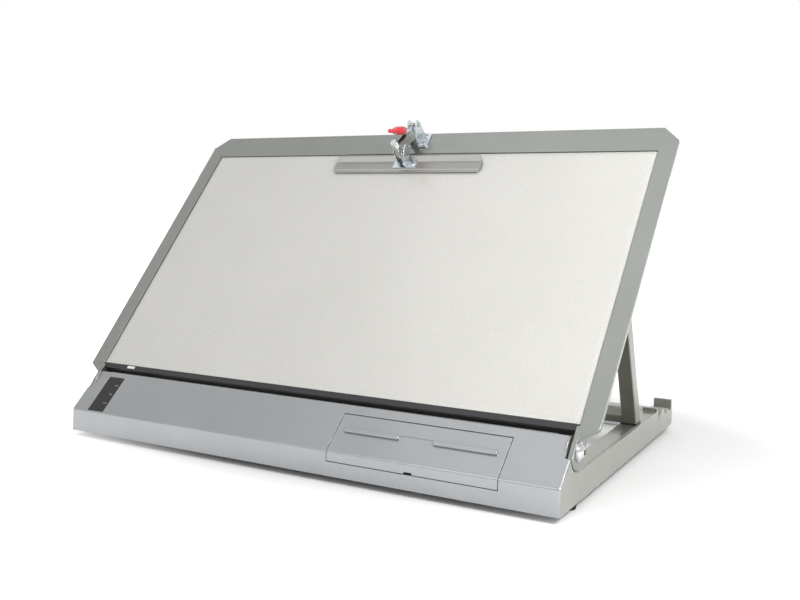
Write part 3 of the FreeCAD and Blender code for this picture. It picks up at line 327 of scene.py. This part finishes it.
dark_abs = moulded_plastic("dark_grey_abs", "#4A4B4C", "#404142", 0.5)
black_abs = moulded_plastic("black_abs", "#232324", "#1B1B1C", 0.45)
pale_abs = moulded_plastic("pale_grey_abs", "#CFCFCA", "#BEBEB9", 0.42)
natural_nylon = moulded_plastic("natural_nylon", "#E0DDD0", "#D2CEBF", 0.38)
foam = moulded_plastic("black_foam", "#3A3A3A", "#262626", 0.9)
dress(dark_abs, "storage_bin", "floor_screw_blocks")
dress(black_abs, "control_housing", "power_inlet", "lid_catch")
dress(natural_nylon, "prop_pivot_washers")
dress(black_abs, "hinge_bushes")


def circuit_board():
    """Green solder mask over copper: tracks on a 4 mm grid, broken up by noise."""
    material, tree, shader, space = finish("green_circuit_board", Roughness=0.3)
    track = add(tree, "TexBrick", {"Vector": space, "Scale": 1 / 4, "Color1": linear("#1E5A2C"),
                                   "Color2": linear("#1A4E27"), "Mortar": linear("#4E8A3E"),
                                   "Mortar Size": 0.05})
    tree.links.new(track.outputs["Color"], shader.inputs["Base Color"])
    return material


dress(circuit_board(), "control_board", "light_driver")


# ---- Touch window ----
# A smoked acrylic strip, flush in the console's slope, with three touch keys.  Each key is
# marked by a dot and a dash, screen-printed in pale grey ink.
def smoked_acrylic():
    """Cast acrylic, smoked nearly black: a clear deep gloss with faint wiping marks."""
    material, tree, shader, space = finish("smoked_acrylic", Specular_IOR_Level=0.25,
                                           IOR=1.49)
    wipe = add(tree, "TexNoise", {"Vector": space, "Scale": 1 / 9, "Detail": 5.0,
                                  "Distortion": 1.2})
    tone = add(tree, "Mix", {0: wipe.outputs["Fac"], 6: linear("#232324"),
                             7: linear("#2C2C2D")}, data_type="RGBA")
    tree.links.new(tone.outputs[2], shader.inputs["Base Color"])
    matt = add(tree, "MapRange", {"Value": wipe.outputs["Fac"], "From Min": 0.3,
                                  "From Max": 0.7, "To Min": 0.1, "To Max": 0.26})
    tree.links.new(matt.outputs["Result"], shader.inputs["Roughness"])
    return material


window = eased("control_window", 0.3)
fit(window, "base", smoked_acrylic(), "smoked_window", "control_window")
sheet_thickness = 3.0 * MM
slope = math.radians(41.35)
window_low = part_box("control_window")[0]
slope_up = Vector((0, math.cos(slope), math.sin(slope)))
slope_out = Vector((0, -math.sin(slope), math.cos(slope)))
window_foot = Vector((window_low.x, window_low.y,
                      window_low.z + sheet_thickness * math.cos(slope)))


def printed_mark(across, up, long, wide):
    """A flat ink mark with round ends: a ring of points, a stadium long by wide, raised
    0.05 mm from the window."""
    turn = np.linspace(0, 2 * math.pi, 32, endpoint=False)
    reach = (long - wide) / 2 * np.sign(np.cos(turn))
    a = across + reach + wide / 2 * np.cos(turn)
    b = up + wide / 2 * np.sin(turn)
    levels = np.array([-0.2, 0.05])       # sunk into the window and proud of it
    flat = np.array(window_foot) + (a[:, None] * np.array((1.0, 0, 0))
                                    + b[:, None] * np.array(slope_up)) * MM
    grid = flat[None] + levels[:, None, None] * MM * np.array(slope_out)
    return skin("mark", grid)


key_pitch = 14.6
first_key = 13.6
marks = []
for key in range(3):
    up = first_key + key_pitch * key
    marks.append(printed_mark(20.0, up, 1.5, 1.5))
    marks.append(printed_mark(23.2, up, 2.6, 1.0))
key_marks = joined("touch_key_marks", marks)
key_marks.data.materials.append(moulded_plastic("pale_ink", "#9C9D9E", "#8E8F90", 0.5))
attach(key_marks, "base")
lens = moulded_plastic("frosted_lens", "#DCE2DE", "#C8CEC9", 0.3)
dress(lens, "indicator_lights")


# ---- Drawing board frame ----
# A frame cut from 5.4 mm aluminium plate, its edges broken, sprayed in a slightly darker
# grey enamel.  A hinge ear stands on each lower corner.
board_enamel = baked_enamel("board_enamel", "#8F928D", "#838682", 0.3)
fit(eased("board_frame", 0.6, flat=0), "board", board_enamel, "frame_paint", "board_frame")
black_enamel = baked_enamel("black_enamel", "#3E3E40", "#333334", 0.5)
fit(eased("panel_ledge", 0.3), "board", black_enamel, "black_paint", "panel_ledge")
fit(eased("lower_rail", 0.5), "board", black_enamel, "black_paint", "lower_rail")
fit(eased("ledge_tab", 0.25), "board", pale_abs, "pale_plastic", "ledge_tab")
tray_enamel = baked_enamel("tray_powder_coat", "#C6C6C2", "#BABAB5", 0.5)
fit(eased("light_tray", 0.8), "board", tray_enamel, "tray_paint", "light_tray")


# ---- Drawing panel ----
# Opal acrylic, 4.6 mm thick, diamond-milled to a shallow bevel all round and lightly
# blasted on its face so that a pencil bites.  It is lit from behind through the guide.
def opal_acrylic():
    """Cast opal acrylic with a blasted face: light sinks in 3 mm and comes back pearly; the
    tooth is 1.2 mm across (drawn coarser than the real 0.1 mm so that it shows)."""
    material, tree, shader, space = finish(
        "opal_acrylic", IOR=1.49, Subsurface_Weight=0.25, Subsurface_Scale=3 * MM,
        Subsurface_Radius=(1.0, 0.95, 0.85), Specular_IOR_Level=0.6, Coat_Weight=0.35,
        Coat_Roughness=0.14)
    cloud = add(tree, "TexNoise", {"Vector": space, "Scale": 1 / 160, "Detail": 2.0})
    tone = add(tree, "Mix", {0: cloud.outputs["Fac"], 6: linear("#A9A8A4"),
                             7: linear("#B1B0AC")}, data_type="RGBA")
    tree.links.new(tone.outputs[2], shader.inputs["Base Color"])
    tooth = add(tree, "TexNoise", {"Vector": space, "Scale": 1 / 1.2, "Detail": 3.0})
    matt = add(tree, "MapRange", {"Value": tooth.outputs["Fac"], "From Min": 0.3,
                                  "From Max": 0.7, "To Min": 0.24, "To Max": 0.32})
    tree.links.new(matt.outputs["Result"], shader.inputs["Roughness"])
    bump = add(tree, "Bump", {"Height": tooth.outputs["Fac"], "Strength": 0.15,
                              "Distance": 0.01 * MM})
    tree.links.new(bump.outputs["Normal"], shader.inputs["Normal"])
    return material


fit(eased("drawing_panel", 0.35, sharp=8), "board", opal_acrylic(), "panel_acrylic",
    "drawing_panel")
clear_acrylic = finish("clear_acrylic", Base_Color=linear("#E6ECEE"), Roughness=0.08)[0]
dress(clear_acrylic, "light_guide")
dress(lens, "light_reflector")
dress(pale_abs, "led_strips")
dress(foam, "guide_spacers")


# ---- Prop ----
# Square steel tube, 18 mm with a 1.5 mm wall, cut and welded to a U and sprayed in a warm
# grey enamel.  Rubber pads under its foot keep it from sliding on the rails.
# Painted shade: the prop's warm grey is set darker than the rails' grey to stand in for the board's shadow falling
# on the prop.
prop_enamel_and_painted_shade = baked_enamel("prop_enamel_and_painted_shade", "#7C7C73", "#717168", 0.34)
fit(eased("prop_frame", 1.3), "prop", prop_enamel_and_painted_shade, "prop_paint", "prop_frame")
fit(eased("prop_brackets", 0.3), "board", bright_zinc, "zinc_steel", "prop_brackets")
fit(eased("prop_pivot_bolts", 0.3), "board", bright_zinc, "zinc_steel", "prop_pivot_bolts")
fit(eased("prop_pivot_nuts", 0.3), "board", bright_zinc, "zinc_steel", "prop_pivot_nuts")


# ---- Toggle clamp ----
# Pressed and plated steel plates, riveted so that they turn: a base screwed to the frame,
# an arm, a link and a handle.  Blanking leaves a small round along every edge.
fit(eased("clamp_base", 0.25), "board", bright_zinc, "zinc_steel", "clamp_base")
fit(eased("clamp_base_screws", 0.12), "board", screw_zinc, "screw_steel",
    "clamp_base_screws")
fit(eased("arm_rivets", 0.25), "board", dull_zinc, "arm_steel", "arm_rivets")
fit(eased("link_rivet", 0.25), "board", dull_zinc, "arm_steel", "link_rivet")
fit(eased("clamp_arm", 0.2), "clamp_arm", dull_zinc, "arm_steel", "clamp_arm")
fit(eased("handle_rivet", 0.2), "clamp_arm", dull_zinc, "arm_steel", "handle_rivet")
fit(eased("spindle_nuts", 0.2), "clamp_arm", bright_zinc, "zinc_steel", "spindle_nuts")
fit(eased("clamp_spindle", 0.2), "clamp_arm", bright_zinc, "zinc_steel", "clamp_spindle")
fit(eased("bar_bracket", 0.2), "clamp_arm", bright_zinc, "arm_steel", "bar_bracket")
fit(eased("bracket_pin", 0.2), "clamp_arm", bright_zinc, "zinc_steel", "bracket_pin")
fit(eased("bar_rivets", 0.15), "clamp_arm", bright_zinc, "zinc_steel", "bar_rivets")
fit(eased("handle_plates", 0.2), "clamp_handle", bright_zinc, "zinc_steel", "handle_plates")
fit(eased("clamp_link", 0.15), "clamp_link", dull_zinc, "arm_steel", "clamp_link")


# ---- Clamp bar ----
# An aluminium extrusion, satin anodised.  The die leaves fine lines along its length.
def anodised_aluminium():
    """Satin anodised extrusion: die lines 0.8 mm apart across the bar and 60 mm long."""
    material, tree, shader, space = finish("satin_anodised_aluminium", Metallic=1.0)
    along = add(tree, "Mapping", {"Vector": space, "Scale": (1 / 60, 1 / 0.8, 1 / 0.8)})
    line = add(tree, "TexNoise", {"Vector": along.outputs["Vector"], "Scale": 1.0,
                                  "Detail": 3.0})
    tone = add(tree, "Mix", {0: line.outputs["Fac"], 6: linear("#8A8A87"),
                             7: linear("#ADADA9")}, data_type="RGBA")
    tree.links.new(tone.outputs[2], shader.inputs["Base Color"])
    matt = add(tree, "MapRange", {"Value": line.outputs["Fac"], "From Min": 0.3,
                                  "From Max": 0.7, "To Min": 0.36, "To Max": 0.5})
    tree.links.new(matt.outputs["Result"], shader.inputs["Roughness"])
    bump = add(tree, "Bump", {"Height": line.outputs["Fac"], "Strength": 0.3,
                              "Distance": 0.02 * MM})
    tree.links.new(bump.outputs["Normal"], shader.inputs["Normal"])
    return material


fit(eased("clamp_bar", 0.35), "clamp_arm", anodised_aluminium(), "bar_aluminium", "clamp_bar")


# ---- Handle grip ----
# A red vinyl grip, dipped over the handle plates.  It is fuller where the palm sits, has a
# waist, and closes in a soft round tip.
def dipped_vinyl():
    """Plastisol: thick and glossy, with long sags 14 mm across left as it cured."""
    material, tree, shader, space = finish(
        "dipped_red_vinyl", Subsurface_Weight=0.12, Subsurface_Scale=2 * MM,
        Subsurface_Radius=(1.0, 0.25, 0.2), Coat_Weight=0.3, Coat_Roughness=0.15)
    sag = add(tree, "TexNoise", {"Vector": space, "Scale": 1 / 14, "Detail": 2.0})
    tone = add(tree, "Mix", {0: sag.outputs["Fac"], 6: linear("#AE1E28"),
                             7: linear("#C02A34")}, data_type="RGBA")
    tree.links.new(tone.outputs[2], shader.inputs["Base Color"])
    matt = add(tree, "MapRange", {"Value": sag.outputs["Fac"], "From Min": 0.3,
                                  "From Max": 0.7, "To Min": 0.28, "To Max": 0.4})
    tree.links.new(matt.outputs["Result"], shader.inputs["Roughness"])
    bump = add(tree, "Bump", {"Height": sag.outputs["Fac"], "Strength": 0.4,
                              "Distance": 0.15 * MM})
    tree.links.new(bump.outputs["Normal"], shader.inputs["Normal"])
    return material


hinge = next(j for j in frame["joints"] if j["name"] == "board_tilt")["pos_m"]
board_out = np.array(next(m for m in frame["record"]["mounts"]
                          if m["name"] == "drawing_surface")["axis"])
board_up = np.cross(board_out, (1.0, 0.0, 0.0))


def on_board(x, up, out):
    """World metres of arrays of millimetres across, up and out of the board."""
    return (np.array(hinge) + MM * (x[..., None] * np.array((1.0, 0, 0))
                                    + up[..., None] * board_up + out[..., None] * board_out))


def vinyl_grip():
    """Rounded-square sections carried along a straight spine, from (up, out) start to end in
    millimetres; half width and half depth run straight between stations from palm to tip."""
    start, end = np.array((420.5, 49.85)), np.array((393.5, 76.85))
    length = np.hypot(*(end - start))
    along = (end - start) / length
    aside = np.array((-along[1], along[0]))
    station = np.array([0, 0.6, 2.0, 6, 12, 18, 23, 26, 29, 32, 35, 36.6, 37.6, length]) / length
    wide = np.array([4.4, 5.4, 6.0, 6.8, 7.2, 6.7, 5.3, 4.4, 4.1, 4.1, 3.9, 3.6, 2.8, 1.2])
    deep = np.array([3.8, 4.8, 5.3, 5.8, 5.8, 5.2, 3.9, 3.1, 2.9, 2.9, 2.8, 2.6, 2.0, 0.9])
    share = np.linspace(0, 1, 80)
    half_wide, half_deep = np.interp(share, station, wide), np.interp(share, station, deep)
    turn = np.linspace(0, 2 * math.pi, 48, endpoint=False)
    power = 2 / 3.2           # superellipse of exponent 3.2: a square with round corners
    x = half_wide[:, None] * np.sign(np.cos(turn)) * np.abs(np.cos(turn)) ** power
    across = half_deep[:, None] * np.sign(np.sin(turn)) * np.abs(np.sin(turn)) ** power
    spine = start + share[:, None] * length * along
    up = spine[:, 0, None] + across * aside[0]
    out = spine[:, 1, None] + across * aside[1]
    return skin("vinyl_handle_grip", on_board(x, up, out))


fit(vinyl_grip(), "clamp_handle", dipped_vinyl(), "red_grip", "handle_grip")


# ---- Studio ----
# A white floor that runs out to a white room, a wide softbox overhead, a lamp on the right and
# a softbox in front, to the left.  The floor glows more the further it lies from the object, so
# the dark oval left round the object is partly a painted shadow.  None of it belongs to the object.
floor_half = 30.0
floor_mesh = bpy.data.meshes.new("studio_floor")
floor_mesh.from_pydata([(-floor_half, -floor_half, 0), (floor_half, -floor_half, 0),
                        (floor_half, floor_half, 0), (-floor_half, floor_half, 0)],
                       [], [(0, 1, 2, 3)])
floor = bpy.data.objects.new("studio_floor", floor_mesh)
bpy.context.scene.collection.objects.link(floor)
white_paper, sheet, paper, _ = finish("white_paper", Base_Color=(0.68, 0.68, 0.68, 1.0),
                                      Roughness=0.9, Specular_IOR_Level=0.1)
paper.inputs["Emission Color"].default_value = (1.0, 1.0, 1.0, 1.0)
spot = add(sheet, "TexCoord", {})
# Painted shadow: the floor's glow is nil inside this oval round the object, centred a little right of and behind
# it, so the floor there stays as dark as a shadow.
painted_shadow_oval = add(sheet, "Mapping", {"Vector": spot.outputs["Object"], "Scale": (1.0, 1.6, 1.0),
                              "Location": (-0.08, -0.08, 0.0)})
away = add(sheet, "VectorMath", {"Vector": painted_shadow_oval.outputs["Vector"]}, operation="LENGTH")
floor_glow = add(sheet, "MapRange", {"Value": away.outputs["Value"], "From Min": 0.4,
                              "From Max": 0.8, "To Min": 0.0, "To Max": 1.0},
          interpolation_type="SMOOTHSTEP")
sheet.links.new(floor_glow.outputs["Result"], paper.inputs["Emission Strength"])
floor_mesh.materials.append(white_paper)

room = bpy.data.worlds.new("white_room")
bpy.context.scene.world = room
room.use_nodes = True
sky = room.node_tree
heading = add(sky, "TexCoord", {})
axes = add(sky, "SeparateXYZ", {"Vector": heading.outputs["Generated"]})
left = add(sky, "MapRange", {"Value": axes.outputs["X"], "From Min": -0.8, "From Max": 0.5,
                             "To Min": 0.86, "To Max": 0.9})
ray = add(sky, "LightPath", {})
strength = add(sky, "Mix", {0: ray.outputs["Is Camera Ray"], 2: left.outputs["Result"],
                            3: 1.0}, data_type="FLOAT")
sky.links.new(strength.outputs[0], sky.nodes["Background"].inputs["Strength"])
sky.nodes["Background"].inputs["Color"].default_value = (1.0, 1.0, 1.0, 1.0)


def lamp(name, kind, place, aim, **settings):
    """A light of that kind, placed in metres and turned towards a point."""
    light = bpy.data.lights.new(name, kind)
    for setting, value in settings.items():
        setattr(light, setting, value)
    made = bpy.data.objects.new(name, light)
    made.location = place
    made.rotation_euler = (Vector(aim) - Vector(place)).to_track_quat("-Z", "Y").to_euler()
    bpy.context.scene.collection.objects.link(made)


middle = (0, 0, 0.2)
lamp("overhead_softbox", "AREA", (0.1, -0.35, 1.75), (0.1, -0.35, 0.0), energy=3.6,
     shape="RECTANGLE", size=1.9, size_y=1.1)
lamp("right_lamp", "AREA", (0.95, -0.55, 0.8), (0.25, 0.0, 0.2), energy=11.0, shape="SQUARE",
     size=0.3)
lamp("front_softbox", "AREA", (-0.9, -2.3, 1.7), middle, energy=6, shape="SQUARE", size=0.62)

camera = bpy.data.objects.new("camera", bpy.data.cameras.new("camera"))
bpy.context.scene.collection.objects.link(camera)
bpy.context.scene.camera = camera
camera.data.lens = 44.14
camera.data.sensor_width = 36.0
yaw, pitch, roll = (math.radians(a) for a in (30.313, -7.673, -0.35))
ahead = Vector((-math.sin(yaw) * math.cos(pitch), math.cos(yaw) * math.cos(pitch),
                math.sin(pitch)))
level = ahead.cross(Vector((0, 0, 1))).normalized()
upright = level.cross(ahead)
right = math.cos(roll) * level + math.sin(roll) * upright
top = -math.sin(roll) * level + math.cos(roll) * upright
turned = Matrix((right, top, -ahead)).transposed()
camera_place = (0.6896, -1.1041, 0.3571)
camera.matrix_world = Matrix.Translation(camera_place) @ turned.to_4x4()

bpy.context.scene.view_settings.view_transform = "Standard"
